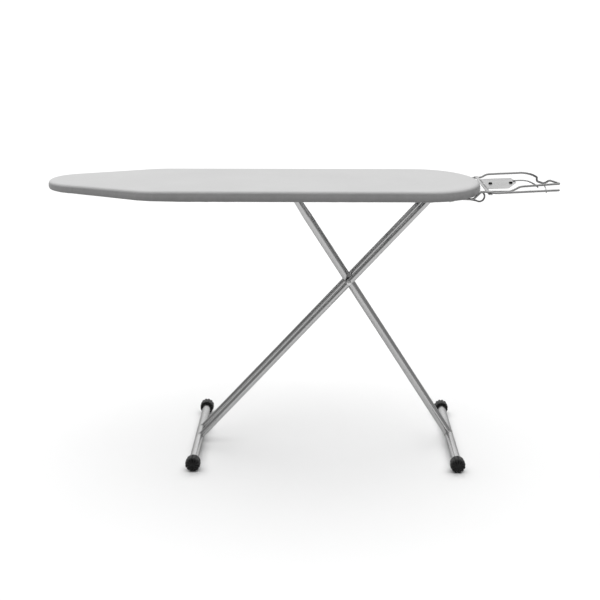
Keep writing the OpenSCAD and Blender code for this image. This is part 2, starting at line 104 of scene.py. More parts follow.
def board_outline(count):
    """The outline as (u, y) points with outward normals, and its length."""
    quarter = math.pi / 2
    shoulder_y = HALF_W - SHOULDER_R
    shoulder_u = NOSE_R + (math.cos(TAPER) * shoulder_y - NOSE_R + SHOULDER_R) / math.sin(TAPER)
    corner_y = HALF_W - CORNER_R
    crown = math.asin(corner_y / (CROWN_R - CORNER_R))
    corner_u = BOARD_L - CROWN_R + (CROWN_R - CORNER_R) * math.cos(crown)
    half = arc((NOSE_R, 0), NOSE_R, math.pi, quarter + TAPER, 60)
    half += arc((shoulder_u, shoulder_y), SHOULDER_R, quarter + TAPER, quarter, 30)
    half += arc((corner_u, corner_y), CORNER_R, quarter, crown, 60)
    half += arc((BOARD_L - CROWN_R, 0), CROWN_R, crown, 0, 30)
    ring = half + [Vector((p.x, -p.y)) for p in reversed(half[1:-1])]
    points, length = resample(ring, count)
    normals = []
    for i, p in enumerate(points):
        along = (points[(i + 1) % count] - points[i - 1]).normalized()
        normals.append(Vector((-along.y, along.x)))
    return points, normals, length


def spine(p):
    """The point of the board's middle line that an outline point is drawn towards."""
    return Vector((min(max(p.x, NOSE_R), BOARD_L - CROWN_R + 0.02), 0.0))


def rise_at(u):
    """Height of the underside of the covered edge above its level stretch."""
    return NOSE_RISE * max(0.0, 1 - u / NOSE_RUN)


def new_object(name, verts, faces, smooth=True):
    mesh = bpy.data.meshes.new(name)
    mesh.from_pydata([tuple(v) for v in verts], [], faces)
    bm = bmesh.new()
    bm.from_mesh(mesh)
    bmesh.ops.remove_doubles(bm, verts=bm.verts, dist=1e-6)
    bmesh.ops.recalc_face_normals(bm, faces=bm.faces)
    bm.to_mesh(mesh)
    bm.free()
    for polygon in mesh.polygons:
        polygon.use_smooth = smooth
    obj = bpy.data.objects.new(name, mesh)
    bpy.context.scene.collection.objects.link(obj)
    return obj


def apply_modifiers(obj):
    """Bakes the modifiers into the mesh."""
    graph = bpy.context.evaluated_depsgraph_get()
    made = bpy.data.meshes.new_from_object(obj.evaluated_get(graph))
    obj.modifiers.clear()
    obj.data = made


def rounded(path, bend, steps=8):
    """The path with each inner corner replaced by a curve that starts bend before it."""
    out = [path[0]]
    for before, p, after in zip(path, path[1:], path[2:]):
        reach = min(bend, (before - p).length * 0.48, (after - p).length * 0.48)
        a = p + (before - p).normalized() * reach
        b = p + (after - p).normalized() * reach
        for k in range(steps + 1):
            t = k / steps
            out.append(a * (1 - t) ** 2 + p * (2 * t * (1 - t)) + b * t * t)
    return out + [path[-1]]


def thinned(path, least):
    """The path without points nearer than least to the one before."""
    out = [path[0]]
    for p in path[1:-1]:
        if (p - out[-1]).length > least:
            out.append(p)
    if (path[-1] - out[-1]).length < least:
        out.pop()
    return out + [path[-1]]


def sweep(name, path, radius, sides=16, closed=False):
    """A round bar along a path, with domed ends unless it is a closed loop."""
    path = thinned(path, radius * 0.2)
    count = len(path)
    tangents = []
    for i in range(count):
        after = path[(i + 1) % count] if closed else path[min(i + 1, count - 1)]
        before = path[i - 1] if closed else path[max(i - 1, 0)]
        tangents.append((after - before).normalized())
    side = tangents[0].orthogonal().normalized()
    rings = []

    def ring(centre, tangent, r):
        over = tangent.cross(side).normalized()
        turns = [2 * math.pi * k / sides for k in range(sides)]
        rings.append([centre + side * (r * math.cos(a)) + over * (r * math.sin(a)) for a in turns])

    dome = [math.radians(a) for a in (80, 60, 40, 20)]
    if not closed:
        for a in dome:
            ring(path[0] + tangents[0] * radius * (1 - math.sin(a)), tangents[0], radius * math.cos(a))
    inner = path
    if not closed:
        inner = [path[0] + tangents[0] * radius, *path[1:-1], path[-1] - tangents[-1] * radius]
    for centre, tangent in zip(inner, tangents):
        side = (side - tangent * side.dot(tangent)).normalized()
        ring(centre, tangent, radius)
    if not closed:
        for a in reversed(dome):
            ring(path[-1] - tangents[-1] * radius * (1 - math.sin(a)), tangents[-1], radius * math.cos(a))
    verts = [v for r in rings for v in r]
    faces = []
    for i in range(len(rings) if closed else len(rings) - 1):
        j = (i + 1) % len(rings)
        for k in range(sides):
            m = (k + 1) % sides
            faces.append((i * sides + k, i * sides + m, j * sides + m, j * sides + k))
    if not closed:
        faces.append(tuple(reversed(range(sides))))
        faces.append(tuple((len(rings) - 1) * sides + k for k in range(sides)))
    return new_object(name, verts, faces)


# ---------------------------------------------------------------- materials

class Shader:
    """A principled material with small helpers for its procedural nodes."""

    def __init__(self, name, colour, roughness, metallic=0.0):
        self.material = bpy.data.materials.new(name)
        self.material.use_nodes = True
        self.tree = self.material.node_tree
        self.bsdf = self.tree.nodes["Principled BSDF"]
        self.bsdf.inputs["Base Color"].default_value = (*colour, 1)
        self.bsdf.inputs["Roughness"].default_value = roughness
        self.bsdf.inputs["Metallic"].default_value = metallic
        self.place = self.tree.nodes.new("ShaderNodeTexCoord").outputs["Object"]
        self.heights = []

    def put(self, **values):
        for socket, value in values.items():
            self.bsdf.inputs[socket.replace("_", " ")].default_value = value

    def node(self, kind, links=None, **settings):
        made = self.tree.nodes.new(kind)
        for key, value in settings.items():
            if key in made.inputs:
                made.inputs[key].default_value = value
            else:
                setattr(made, key, value)
        for socket, source in (links or {}).items():
            self.tree.links.new(source, made.inputs[socket])
        return made

    def stretched(self, scale):
        return self.node("ShaderNodeMapping", {"Vector": self.place}, Scale=scale).outputs[0]

    def noise(self, scale, detail=3.0, where=None, rough=0.5):
        made = self.node("ShaderNodeTexNoise", {"Vector": where or self.place}, Scale=scale, Detail=detail)
        made.inputs["Roughness"].default_value = rough
        return made.outputs["Fac"]

    def remap(self, value, low, high, to_low, to_high):
        made = self.node("ShaderNodeMapRange", {"Value": value})
        for socket, number in zip(("From Min", "From Max", "To Min", "To Max"), (low, high, to_low, to_high)):
            made.inputs[socket].default_value = number
        return made.outputs[0]

    def blend(self, factor, dark, light):
        made = self.node("ShaderNodeMix", data_type="RGBA")
        made.inputs["A"].default_value = (*dark, 1)
        made.inputs["B"].default_value = (*light, 1)
        self.tree.links.new(factor, made.inputs["Factor"])
        return made.outputs["Result"]

    def mix(self, factor, a, b):
        made = self.node("ShaderNodeMix", data_type="RGBA")
        for socket, source in (("A", a), ("B", b), ("Factor", factor)):
            self.tree.links.new(source, made.inputs[socket])
        return made.outputs["Result"]

    def math(self, operation, a, b):
        made = self.node("ShaderNodeMath", operation=operation)
        for socket, value in zip(made.inputs, (a, b)):
            if isinstance(value, (int, float)):
                socket.default_value = value
            else:
                self.tree.links.new(value, socket)
        return made.outputs[0]

    def colour(self, source):
        self.tree.links.new(source, self.bsdf.inputs["Base Color"])

    def roughness(self, source):
        self.tree.links.new(source, self.bsdf.inputs["Roughness"])

    def bump(self, height, distance, strength=1.0):
        """Adds one layer of bump on top of those before it."""
        made = self.node("ShaderNodeBump", {"Height": height}, Distance=distance, Strength=strength)
        if self.heights:
            self.tree.links.new(self.heights[-1], made.inputs["Normal"])
        self.heights.append(made.outputs[0])
        self.tree.links.new(made.outputs[0], self.bsdf.inputs["Normal"])


def grey(value):
    return (value, value, value)


CAP_RIBS = 12


def woven_cotton():
    s = Shader("cover_fabric", grey(0.45), 0.9)
    s.put(Sheen_Weight=0.1, Sheen_Roughness=0.5, Specular_IOR_Level=0.15)
    warp = s.noise(900, 2, s.stretched((1, 0.12, 0.5)))
    weft = s.noise(900, 2, s.stretched((0.12, 1, 0.5)))
    cloth = s.math("ADD", s.math("MULTIPLY", warp, 0.5), s.math("MULTIPLY", weft, 0.5))
    slub = s.noise(45, 4, s.stretched((1, 9, 1)))
    mottle = s.noise(6, 4)
    tone = s.math("ADD", s.math("MULTIPLY", slub, 0.4), s.math("MULTIPLY", mottle, 0.4))
    tone = s.math("ADD", s.math("MULTIPLY", cloth, 0.35), tone)
    top_cloth = s.blend(s.remap(tone, 0.4, 0.75, 0, 1), grey(0.435), grey(0.475))
    # Painted shade: the edge band of the cloth is coloured darker than the top, and darkest along the hem,
    # for the shade that falls on the side and on the edge turning under.
    side_cloth_painted_shade = s.blend(s.remap(tone, 0.4, 0.75, 0, 1), grey(0.22), grey(0.26))
    parts = s.node("ShaderNodeSeparateXYZ", {"Vector": s.place})
    # Painted shade masks: the first fades from the top to the darker side band, the second darkens the side
    # further towards the hem.
    depth = s.remap(parts.outputs["Z"], TOP_Z - 0.002, TOP_Z - 0.008, 0, 1)
    s.colour(s.mix(depth, top_cloth, s.mix(
        s.remap(parts.outputs["Z"], TOP_Z - 0.014, HEM_Z, 0, 1), side_cloth_painted_shade,
        s.blend(s.remap(tone, 0.4, 0.75, 0, 1), grey(0.155), grey(0.185)))))
    s.bump(cloth, 0.0002, 0.5)
    s.bump(slub, 0.0003, 0.4)
    s.bump(mottle, 0.0015, 0.4)
    return s.material


def foam():
    s = Shader("pad_foam", (0.80, 0.79, 0.75), 0.95)
    pores = s.noise(420, 2)
    s.colour(s.blend(s.remap(pores, 0.3, 0.7, 0, 1), (0.70, 0.69, 0.65), (0.86, 0.85, 0.81)))
    s.bump(pores, 0.0005, 0.8)
    return s.material


def braided_elastic():
    s = Shader("elastic", grey(0.78), 0.9)
    rib = s.node("ShaderNodeTexWave", {"Vector": s.place}, bands_direction="DIAGONAL", Scale=55.0)
    s.colour(s.blend(rib.outputs["Fac"], grey(0.62), grey(0.84)))
    s.bump(rib.outputs["Fac"], 0.0004)
    return s.material


def painted_steel():
    s = Shader("deck_steel", grey(0.5), 0.42, 0.55)
    peel = s.noise(220, 2)
    wear = s.noise(9, 6)
    s.colour(s.blend(s.remap(wear, 0.35, 0.65, 0, 1), (0.47, 0.475, 0.48), (0.55, 0.555, 0.56)))
    s.roughness(s.remap(wear, 0.3, 0.7, 0.36, 0.5))
    s.bump(peel, 0.0001, 0.4)
    return s.material


def plated(name, tint, low, high, streak=(1, 1, 0.06), rim=0.25):
    """Bright plating with faint drawing lines and handling marks."""
    s = Shader(name, tint, low, 1.0)
    s.put(Specular_Tint=(*grey(rim), 1))
    lines = s.noise(260, 3, s.stretched(streak))
    marks = s.noise(14, 5)
    tone = s.math("ADD", s.math("MULTIPLY", lines, 0.5), s.math("MULTIPLY", marks, 0.5))
    s.roughness(s.remap(tone, 0.35, 0.65, low, high))
    s.colour(s.blend(s.remap(marks, 0.3, 0.7, 0, 1), tuple(c * 0.93 for c in tint), tint))
    s.bump(lines, 0.00002, 0.3)
    return s.material


def ribbed_rubber():
    """Black rubber whose rib crests are painted lighter than its grooves: a painted highlight on the crests
    and painted shade in the grooves, speckled by dust.
    """
    s = Shader("cap_rubber", grey(0.003), 0.5)
    s.put(Specular_IOR_Level=0.18)
    in_box = s.tree.nodes.new("ShaderNodeTexCoord").outputs["Generated"]
    centred = s.node("ShaderNodeMapping", {"Vector": in_box},
        Location=(-0.5, 0.5, 0), Rotation=(math.radians(90), 0, 0))
    turn = s.node("ShaderNodeTexGradient", {"Vector": centred.outputs[0]}, gradient_type="RADIAL")
    wave = s.node("ShaderNodeMath", operation="COSINE")
    s.tree.links.new(s.math("MULTIPLY", turn.outputs["Fac"], 2 * math.pi * CAP_RIBS), wave.inputs[0])
    grain = s.noise(700, 3)
    dust = s.noise(30, 5)
    # Painted highlight on the rib crests, varied by the dust noise.
    crest_dust_and_highlight = s.blend(s.remap(dust, 0.42, 0.75, 0, 1), grey(0.010), grey(0.030))
    # Painted shade in the grooves: near black.
    groove = s.blend(dust, grey(0.0005), grey(0.002))
    s.colour(s.mix(s.remap(wave.outputs[0], -0.2, 0.5, 0, 1), crest_dust_and_highlight, groove))
    s.roughness(s.remap(dust, 0.3, 0.7, 0.35, 0.5))
    s.bump(grain, 0.0001, 0.4)
    return s.material


def moulded(name, colour, roughness):
    s = Shader(name, colour, roughness)
    grain = s.noise(900, 2)
    shade = s.noise(40, 3)
    s.colour(s.blend(s.remap(shade, 0.3, 0.7, 0, 1), tuple(c * 0.85 for c in colour), colour))
    s.bump(grain, 0.0001, 0.5)
    return s.material


def zinc():
    s = Shader("fastener_steel", grey(0.62), 0.3, 1.0)
    spangle = s.node("ShaderNodeTexVoronoi", {"Vector": s.place}, Scale=500.0)
    s.roughness(s.remap(spangle.outputs["Distance"], 0, 0.7, 0.24, 0.4))
    s.colour(s.blend(s.noise(60, 3), grey(0.5), grey(0.68)))
    s.bump(s.noise(900, 2), 0.00004, 0.5)
    return s.material


MATERIALS = {
    "cover_fabric": woven_cotton(),
    "pad_foam": foam(),
    "elastic": braided_elastic(),
    "deck_steel": painted_steel(),
    "fastener_steel": zinc(),
    "dark_plastic": moulded("dark_plastic", grey(0.025), 0.5),
    "nylon": moulded("nylon", (0.78, 0.77, 0.73), 0.45),
    "rest_sheet": plated("rest_sheet", grey(0.45), 0.24, 0.34, (0.1, 1, 1), 0.95),
    "rest_wire": plated("rest_wire", grey(0.24), 0.16, 0.28),
    "cap_rubber": ribbed_rubber(),
    "lever_wire": plated("lever_wire", grey(0.14), 0.2, 0.32),
    "leg_tube": plated("leg_tube", grey(0.46), 0.12, 0.24),
}


def dress_cad_nodes():
    """Gives every carried-over CAD node its own slot's material."""
    for row in frame["record"]["subparts"]:
        node = frame["nodes"][row["node"]]
        node.data.materials.clear()
        node.data.materials.append(MATERIALS[row["material_slot"]])
    # The buffers in the plate are soft black rubber. The foot tubes get a brighter copy of the leg tube's
    # plating, painted light for the brighter light they catch.
    buffer = moulded("buffer_rubber", grey(0.003), 0.95)
    buffer.node_tree.nodes["Principled BSDF"].inputs["Specular IOR Level"].default_value = 0.05
    frame["nodes"]["rest_plate_plugs"].data.materials[0] = buffer
    foot_plating_painted_light = plated("foot_tube_lit_plate", grey(0.74), 0.2, 0.27, (1, 0.06, 1), 0.3)
    for name in ("outer_foot_tube", "inner_foot_tube"):
        frame["nodes"][name].data.materials[0] = foot_plating_painted_light


def finish_piece(obj, body, slot, *nodes):
    """Rides a new piece on its body, gives it its finish and hides the CAD nodes it stands for."""
    obj.data.materials.clear()
    obj.data.materials.append(MATERIALS[slot])
    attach(obj, body)
    if nodes:
        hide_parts(*nodes)
    return obj


# ---------------------------------------------------------------- padded top

EDGE_STEP = 0.006
TOP_RINGS = 20
TOP_ROUND = 0.0085
END_ROUND = 0.020
END_DROP = 0.0115
LOW_ROUND = 0.004
HEM_W = 0.024
FOLD_DEPTH = 0.0024
FOLD_PITCH = 0.018
ELASTIC_R = 0.002
CLOTH_T = 0.0008
PAD_GAP = 0.0008
COVER_SWAY = 0.0020
COVER_LIFT = 0.0004
SIDE_LIFT = 0.0006
PAD_SWAY = 0.0010
PAD_LIFT = 0.0005


def top_round(u):
    """Width and depth of the cover's rounded upper edge, which is fuller at the iron rest end."""
    share = min(max((u - 1.00) / 0.18, 0.0), 1.0)
    share = share * share * (3 - 2 * share)
    return TOP_ROUND + (END_ROUND - TOP_ROUND) * share, TOP_ROUND + (END_DROP - TOP_ROUND) * share


def cover_section(depth, wide, deep):
    """The cover's section outside the flat top, as (inset, height below the top, zone, share to the hem)."""
    rows = []
    for k in range(9):
        a = math.radians(90 - 11.25 * k)
        rows.append((wide * (1 - math.cos(a)), deep * (1 - math.sin(a)), "edge", 0.0))
    for share in (0.2, 0.4, 0.6, 0.8):
        rows.append((0.0, deep + (depth - deep - LOW_ROUND) * share, "side", 0.0))
    for k in range(4):
        a = math.radians(30 * k)
        rows.append((LOW_ROUND * (1 - math.cos(a)), depth - LOW_ROUND * (1 - math.sin(a)), "side", 0.0))
    for share in (0.25, 0.5, 0.75, 1.0):
        rows.append((LOW_ROUND + (HEM_W - LOW_ROUND) * share, depth, "hem", share))
    for k in range(1, 5):
        a = math.radians(-90 + 45 * k)
        r = ELASTIC_R + CLOTH_T
        rows.append((HEM_W + ELASTIC_R + r * math.cos(a), depth - r - r * math.sin(a), "casing", 1.0))
    return rows


def gathers(i, count, turned):
    """Puckers of the hem, from 0 to 1, deeper where the outline turns."""
    uneven = 2.5 * noise.noise(Vector((i * 0.11, 0.3, 0.7)))
    wave = math.sin(2 * math.pi * round(count / 4.5) * i / count + uneven)
    return (0.5 + 0.5 * wave) * (0.25 + 0.75 * min(1.0, turned * 40))


def cover_mesh():
    """The cover as one sheet: flat top, rounded edge, side and gathered hem. Also gives each point's zone."""
    count = round(board_outline(100)[2] / EDGE_STEP)
    points, normals, _ = board_outline(count)
    verts, zones = [], []
    for i, (p, n) in enumerate(zip(points, normals)):
        section = cover_section(TOP_Z - HEM_Z - rise_at(p.x), *top_round(p.x))
        turned = (normals[(i + 3) % count] - normals[i - 3]).length / 6
        edge = p - n * section[0][0]
        middle = spine(p)
        reach = (edge - middle).length
        for k in range(TOP_RINGS):
            share = 1 - (1 - k / TOP_RINGS) ** 1.7
            q = middle.lerp(edge, share)
            verts.append(at(q.x, q.y, TOP_Z))
            zones.append("rim" if (1 - share) * reach < 0.035 else "top")
        fold = -FOLD_DEPTH * max(0.0, noise.noise(Vector((EDGE_STEP * i / FOLD_PITCH, 1.3, 0.2))))
        for inset, drop, zone, share in section:
            q = p - n * (inset + (fold if zone == "side" else 0.0))
            lift = 0.0011 * gathers(i, count, turned) * share if zone == "hem" else 0.0
            verts.append(at(q.x, q.y, TOP_Z - drop + lift))
            zones.append(zone)
    rows = TOP_RINGS + len(section)
    faces = []
    for i in range(count):
        j = (i + 1) % count
        for k in range(rows - 1):
            faces.append((i * rows + k, i * rows + k + 1, j * rows + k + 1, j * rows + k))
    mesh = bpy.data.meshes.new("fabric_cover_cloth")
    mesh.from_pydata([tuple(v) for v in verts], [], faces)
    for polygon in mesh.polygons:
        polygon.use_smooth = True
    cover = bpy.data.objects.new("fabric_cover_cloth", mesh)
    bpy.context.scene.collection.objects.link(cover)
    return cover, zones


def run_cloth(obj, pins, pressure, grow):
    """Runs a cloth simulation on the object and gives the settled positions of its points."""
    group = obj.vertex_groups.new(name="pins")
    for index, weight in enumerate(pins):
        group.add([index], weight, "REPLACE")
    cloth = obj.modifiers.new("cloth", "CLOTH")
    settings = cloth.settings
    settings.quality = 4
    settings.mass = 0.15
    settings.tension_stiffness = 12
    settings.compression_stiffness = 12
    settings.bending_stiffness = 0.15
    settings.vertex_group_mass = "pins"
    settings.shrink_min = -grow
    settings.use_pressure = pressure > 0
    settings.uniform_pressure_force = pressure
    settings.effector_weights.gravity = 0
    cloth.collision_settings.use_collision = False
    for step in range(1, 21):
        bpy.context.scene.frame_set(step)
    graph = bpy.context.evaluated_depsgraph_get()
    settled = [v.co.copy() for v in obj.evaluated_get(graph).data.vertices]
    obj.modifiers.clear()
    obj.vertex_groups.clear()
    bpy.context.scene.frame_set(1)
    return settled


def capped(move, sideways, up):
    """A movement held within a limit sideways and another up and down."""
    flat = Vector((move.x, move.y, 0))
    if flat.length > sideways:
        flat *= sideways / flat.length
    return Vector((flat.x, flat.y, max(-up, min(up, move.z))))


def build_cover():
    cover, zones = cover_mesh()
    pins = [1.0 if zone in ("top", "casing") else 0.0 for zone in zones]
    settled = run_cloth(cover, pins, 1.5, 0.02)
    for vertex, place, zone in zip(cover.data.vertices, settled, zones):
        move = place - vertex.co
        lift = COVER_LIFT if zone in ("rim", "edge") else SIDE_LIFT
        vertex.co += capped(move, COVER_SWAY, lift)
    bm = bmesh.new()
    bm.from_mesh(cover.data)
    bmesh.ops.remove_doubles(bm, verts=bm.verts, dist=1e-6)
    bmesh.ops.recalc_face_normals(bm, faces=bm.faces)
    bm.to_mesh(cover.data)
    bm.free()
    finish_piece(cover, "board", "cover_fabric", "fabric_cover")
    thick = cover.modifiers.new("thickness", "SOLIDIFY")
    thick.thickness = CLOTH_T
    thick.offset = -1
    apply_modifiers(cover)
    return cover


def build_elastic():
    count = 420
    points, normals, _ = board_outline(count)
    path = []
    for p, n in zip(points, normals):
        q = p - n * (HEM_W + ELASTIC_R)
        path.append(at(q.x, q.y, HEM_Z + rise_at(p.x) + ELASTIC_R + CLOTH_T))
    elastic = sweep("hem_elastic_cord", path, ELASTIC_R, 10, closed=True)
    finish_piece(elastic, "board", "elastic", "hem_elastic")
    return elastic


def build_pad():
    """A foam pad cut to the deck's outline, crowned a little where the edge compresses it."""
    low, high = DECK_TOP + 0.0001, PAD_TOP - PAD_GAP
    count, rings, steps = 240, 16, 6
    points, normals, _ = board_outline(count)
    inset = 0.0020
    verts = []
    for p, n in zip(points, normals):
        middle = spine(p)
        wide = top_round(p.x)[0]
        edge = p - n * (inset + wide)
        rows = [(middle.lerp(edge, t / rings), high) for t in range(rings)]
        for k in range(steps + 1):
            a = math.pi / 2 * (1 - k / steps)
            rows.append((p - n * (inset + wide * (1 - math.cos(a))), high - (high - low) * (1 - math.sin(a))))
        rows += [(middle.lerp(p - n * inset, t / rings), low) for t in range(rings - 1, -1, -1)]
        verts += [at(q.x, q.y, z) for q, z in rows]
    faces = []
    size = len(rows)
    for i in range(count):
        j = (i + 1) % count
        for k in range(size - 1):
            faces.append((i * size + k, i * size + k + 1, j * size + k + 1, j * size + k))
    pad = new_object("foam_pad_cut", verts, faces)
    remesh = pad.modifiers.new("remesh", "REMESH")
    remesh.mode = "VOXEL"
    remesh.voxel_size = 0.006
    apply_modifiers(pad)
    for vertex in pad.data.vertices:
        vertex.co.z = min(max(vertex.co.z, low), high)
    start = [v.co.copy() for v in pad.data.vertices]
    settled = run_cloth(pad, [1.0 if co.z < low + 0.001 else 0.0 for co in start], 4, 0)
    for vertex, before, place in zip(pad.data.vertices, start, settled):
        vertex.co = before + capped(place - before, PAD_SWAY, PAD_LIFT)
    for polygon in pad.data.polygons:
        polygon.use_smooth = True
    finish_piece(pad, "board", "pad_foam", "foam_pad")
    return pad


# ---------------------------------------------------------------- wires

REST_R = 0.003
THIN_R = 0.002
REST_Z = TOP_Z - 0.0114
REST_SLOPE = 0.046
STRAP_LOW, STRAP_HIGH = (corner.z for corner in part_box("rest_cross_bar"))
ARM_Y = 0.110
ARM_Z = HEM_Z - 0.004
LIMB_Y = 0.148
REST_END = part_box("rest_frame_wire")[1].x - NOSE_X - 0.0012
PLATE_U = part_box("rest_plate")[0].x - NOSE_X
PLATE_L = 0.090
PLATE_BACK = 0.088
PLATE_T = 0.001
PLATE_RIDGE = 0.004
PLATE_TILT = math.radians(2)
LEVER_R = 0.0025
LEVER_Y = 0.070
LEVER_Z = DECK_Z - 0.0062
CRANK_Y = 0.020
SPRING_U = 1.006
EYE_R = 0.014


def rest_at(u):
    """Height of the rest's upper wires, which rise towards their outer end."""
    return REST_Z + REST_SLOPE * (u - BOARD_L)


def wire_piece(name, path, bend, radius, body, slot, *nodes):
    wire = sweep(name, rounded([at(*p) for p in path], bend), radius)
    return finish_piece(wire, body, slot, *nodes)


def build_rest():
    end = REST_END
    low = STRAP_LOW - REST_R
    high = STRAP_HIGH + REST_R
    far = rest_at(1.380)
    wire_piece("iron_rest_frame", [
        (1.108, ARM_Y, ARM_Z), (1.134, ARM_Y, ARM_Z), (1.188, 0.126, ARM_Z), (1.207, 0.140, low),
        (1.241, 0.146, low),
        (1.257, LIMB_Y, rest_at(1.257)), (1.366, LIMB_Y, rest_at(1.366)), (1.385, 0.118, far - 0.001),
        (1.391, 0.072, far - 0.001), (1.382, 0.028, far - 0.001), (1.380, 0.008, far - 0.002),
        (1.389, -0.019, far - 0.002), (1.398, -0.024, far), (1.406, -0.027, far + 0.0075),
        (1.428, -0.032, far + 0.001), (end, -0.037, far - 0.001), (end - 0.014, -0.041, far - 0.001),
        (1.318, -0.072, rest_at(1.318)), (1.303, -0.076, low + 0.005), (1.290, -0.080, low),
        (1.226, -0.083, low)], 0.012, REST_R, "board", "rest_wire", "rest_frame_wire")
    wire_piece("iron_rest_front", [
        (1.108, -ARM_Y, ARM_Z), (1.134, -ARM_Y, ARM_Z), (1.184, -0.120, ARM_Z), (1.205, -0.121, high - 0.001),
        (1.219, -0.130, high), (1.240, -LIMB_Y, high), (1.411, -LIMB_Y, rest_at(1.411))],
        0.007, REST_R, "board", "rest_wire", "rest_front_wire")
    overlap = 0.008
    start_z = (STRAP_HIGH + (PLATE_L - overlap) * math.sin(PLATE_TILT)
        + PLATE_RIDGE * (1 - 0.012 / PLATE_BACK) + PLATE_T + THIN_R)
    wire_piece("iron_rest_inner", [
        (PLATE_U + PLATE_L - overlap, 0.012, start_z), (1.340, 0.014, start_z + 0.0008),
        (1.353, 0.007, start_z),
        (1.366, -0.024, start_z - 0.003), (1.370, -0.058, rest_at(1.318) - 0.0044)],
        0.012, THIN_R, "board", "rest_wire", "rest_inner_wire")
    wire_piece("iron_rest_tie", [
        (1.391, -0.044, rest_at(1.318) - 0.0036), (1.385, -0.096, rest_at(1.318) - 0.0036),
        (1.375, -LIMB_Y - 0.001, rest_at(1.375) - 0.0051)],
        0.020, THIN_R, "board", "rest_wire", "rest_cross_wire")
    tie = bpy.data.objects["iron_rest_tie"]
    tie.data.materials[0] = plated("rest_tie_plate", grey(0.85), 0.2, 0.3, rim=0.9)


def build_lever():
    eye = Vector((1.203, -0.100, TOP_Z - 0.029))
    path = [
        (0.385, -LEVER_Y, LEVER_Z), (0.432, -LEVER_Y, LEVER_Z), (0.438, -CRANK_Y, LEVER_Z),
        (0.724, -CRANK_Y, LEVER_Z), (0.730, -LEVER_Y, LEVER_Z), (1.138, -LEVER_Y, LEVER_Z),
        (1.150, -0.073, eye.z - 0.007), (1.180, -0.093, eye.z - 0.010)]
    for k in range(15):
        a = math.radians(235 + 15 * k)
        path.append((eye.x + EYE_R * math.cos(a), eye.y, eye.z + EYE_R * math.sin(a)))
    wire_piece("height_lever_wire", path, 0.008, LEVER_R, "lever", "lever_wire", "height_lever")
    turns, coil_r, pitch = 6, 0.0051, 0.003
    coil = []
    for k in range(turns * 20 + 1):
        a = 2 * math.pi * k / 20
        y, z = -LEVER_Y + coil_r * math.cos(a), LEVER_Z + coil_r * math.sin(a)
        coil.append(at(SPRING_U + pitch * k / 20, y, z))
    spring = sweep("lever_spring_coil", coil, 0.0008, 8)
    finish_piece(spring, "board", "fastener_steel", "lever_spring")


# ---------------------------------------------------------------- legs

OUTER_R = 0.009
INNER_R = 0.0125
OUTER_Y = 0.0324
OUTER_ANGLE = math.radians(47.4)
INNER_ANGLE = math.radians(57.4)


def build_weld(name, body, foot_node, y, leg_r, lean):
    """A weld bead where a leg tube, leaning along lean in the XZ plane, stands on a foot tube."""
    low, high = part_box(foot_node)
    centre = (low + high) / 2
    along = Vector((lean.x, 0, lean.y))
    across = Vector((-lean.y, 0, lean.x))
    path = []
    for k in range(72):
        a = 2 * math.pi * k / 72
        ripple = 1 + 0.02 * math.sin(18 * a)
        offset = leg_r * math.sin(a) * ripple
        rise = math.sqrt(max(FOOT_R ** 2 - offset ** 2, (FOOT_R * 0.25) ** 2))
        base = Vector((centre.x, y + leg_r * math.cos(a) * ripple, centre.z))
        path.append(base + across * offset + along * rise)
    bead = sweep(name, path, 0.0014, 8, closed=True)
    finish_piece(bead, body, "leg_tube")


def build_welds():
    up_right = Vector((math.cos(OUTER_ANGLE), math.sin(OUTER_ANGLE)))
    up_left = Vector((-math.cos(INNER_ANGLE), math.sin(INNER_ANGLE)))
    build_weld("outer_weld_front", "outer_leg", "outer_foot_tube", -OUTER_Y, OUTER_R, up_right)
    build_weld("outer_weld_rear", "outer_leg", "outer_foot_tube", OUTER_Y, OUTER_R, up_right)
    build_weld("inner_weld", "inner_leg", "inner_foot_tube", 0.0, INNER_R - 0.0001, up_left)


def build_bolt():
    """A domed bolt head over the front end of the crossing bolt."""
    low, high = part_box("crossing_bolt")
    middle = (low + high) / 2
    head_r = (high.x - low.x) / 2
    rows = [
        (head_r, 0.0055), (head_r, 0.0022), (head_r * 0.94, 0.0012), (head_r * 0.75, 0.0005),
        (head_r * 0.4, 0.0001)]
    sides = 40
    verts = [Vector((middle.x, low.y, middle.z))]

    def ring(radius, y):
        for k in range(sides):
            a = 2 * math.pi * k / sides
            verts.append(Vector((middle.x + radius * math.cos(a), y, middle.z + radius * math.sin(a))))

    def band(first):
        for k in range(sides):
            m = (k + 1) % sides
            faces.append((first + k, first + sides + k, first + sides + m, first + m))

    for radius, depth in rows[::-1]:
        ring(radius, low.y + depth)
    faces = [(0, 1 + k, 1 + (k + 1) % sides) for k in range(sides)]
    for i in range(len(rows) - 1):
        band(1 + i * sides)
    shank_r, end_y = 0.004, high.y
    base = len(verts)
    under_y = low.y + 0.0055
    shank = [(head_r, under_y), (shank_r, under_y), (shank_r, end_y - 0.0006), (shank_r * 0.8, end_y)]
    for radius, y in shank:
        ring(radius, y)
    for i in range(3):
        band(base + i * sides)
    faces.append(tuple(base + 3 * sides + k for k in range(sides)))
    bolt = new_object("crossing_bolt_domed", verts, faces)
    finish_piece(bolt, "outer_leg", "fastener_steel", "crossing_bolt")


# ---------------------------------------------------------------- foot caps

RIB_DEPTH = 0.0030


